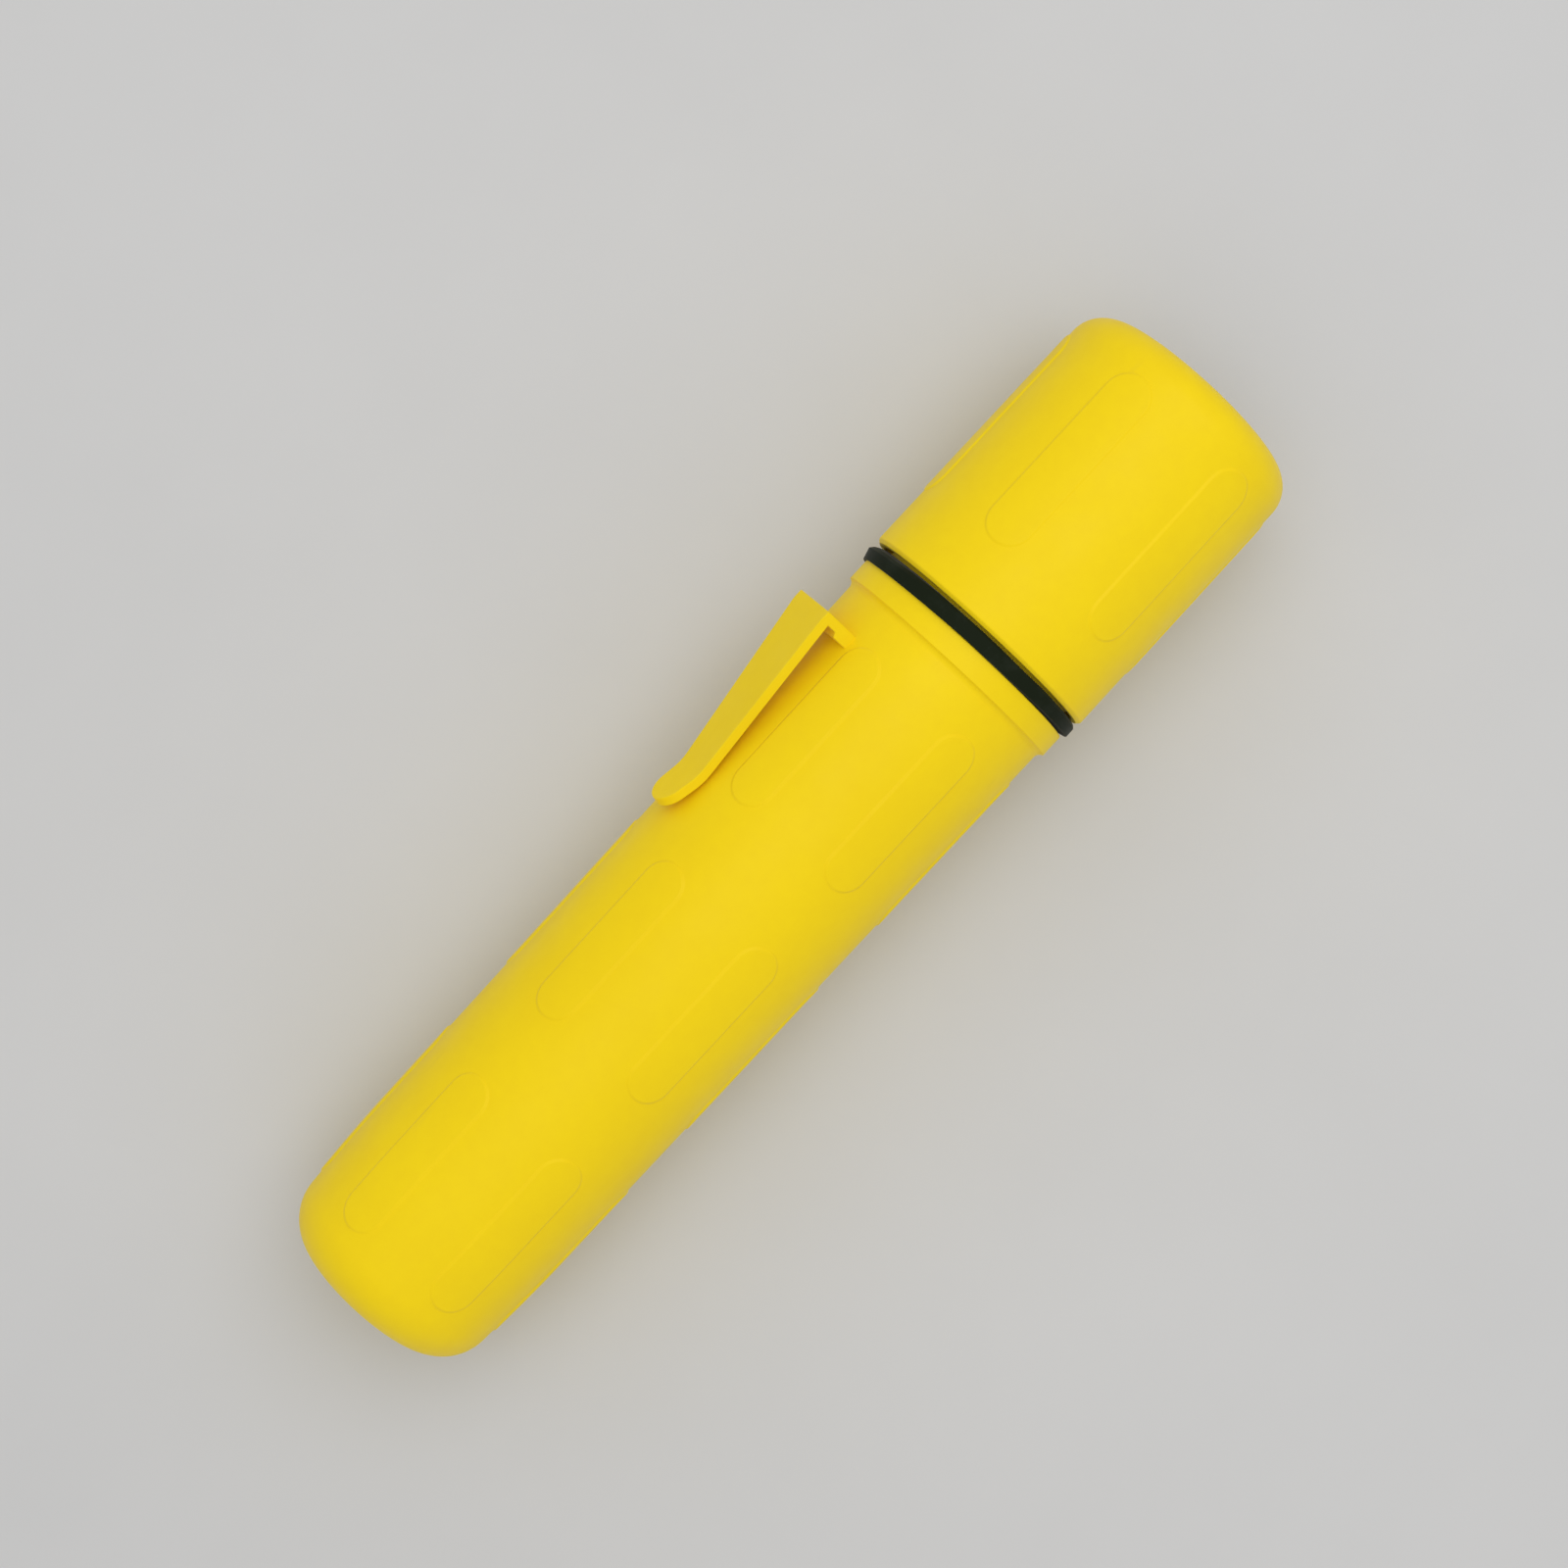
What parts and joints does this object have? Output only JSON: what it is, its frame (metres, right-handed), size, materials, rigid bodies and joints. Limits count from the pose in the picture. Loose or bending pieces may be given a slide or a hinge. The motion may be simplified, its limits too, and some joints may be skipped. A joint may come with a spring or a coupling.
{
  "type": "firefighter flashlight",
  "caption": "Yellow twist-head safety flashlight with grip pads, an exposed black gasket, a side belt clip and a recessed lens, switched by screwing the head down on D cells.",
  "frame": {"origin": "centre of the flat tail face, on the axis of revolution", "axes": "+X along the axis of revolution from the tail to the lamp end; +Z is the side that faces up as the light lies; the belt clip is at 60 degrees from +Z towards +Y"},
  "size_m": [0.2, 0.0482, 0.0446],
  "materials": {
    "yellow_plastic": "satin, finely textured moulding",
    "rubber": "matt",
    "brass": "plain stamped or turned",
    "spring_steel": "nickel plated",
    "cell_can": "nickel plated steel can",
    "cell_jacket": "plain printed film",
    "lens_clear": "clear polycarbonate",
    "slip_plastic": "plain",
    "reflector_metal": "polished inside",
    "black_plastic": "plain moulding",
    "bulb_clear": "clear"
  },
  "bodies": {
    "barrel": {"body_shell": "yellow_plastic", "gasket": "rubber", "ground_strip": "brass", "tail_spring": "spring_steel", "rear_cell": "cell_can", "rear_cell_jacket": "cell_jacket", "front_cell": "cell_can", "front_cell_jacket": "cell_jacket"},
    "clip": {"belt_clip": "yellow_plastic"},
    "lamp_module": {"reflector": "reflector_metal", "lamp_carrier": "black_plastic", "bulb_holder": "black_plastic", "bulb_base": "brass", "bulb_glass": "bulb_clear", "ground_ring": "brass", "contact_spring": "spring_steel"},
    "plunger": {"contact_plunger": "brass"},
    "head": {"head_shell": "yellow_plastic", "lens": "lens_clear", "lens_seal": "rubber", "slip_ring": "slip_plastic", "retaining_ring": "spring_steel"}
  },
  "joints": [
    {"name": "head_advance", "type": "slide", "parent": "barrel", "child": "lamp_module", "axis": [1, 0, 0], "range_m": [-0.0005, 0.0105]},
    {"name": "head_turn", "type": "hinge", "parent": "lamp_module", "child": "head", "pos_m": [0.172, 0, 0], "axis": [1, 0, 0], "range_deg": [-60.1, 1260.1]},
    {"name": "clip_flex", "type": "hinge", "parent": "barrel", "child": "clip", "pos_m": [0.1315, 0.0227, 0.01311], "axis": [0, 0.5, -0.866], "range_deg": [0, 8], "stiffness_Nm_per_rad": 4},
    {"name": "plunger_press", "type": "slide", "parent": "lamp_module", "child": "plunger", "axis": [1, 0, 0], "range_m": [0, 0.0012], "stiffness_N_per_m": 300, "springref_m": -0.002, "deforming": ["contact_spring"]}
  ],
  "couplings": [
    {"joint": "head_turn", "follows": "head_advance", "rad_per_m": 2094.4}
  ]
}
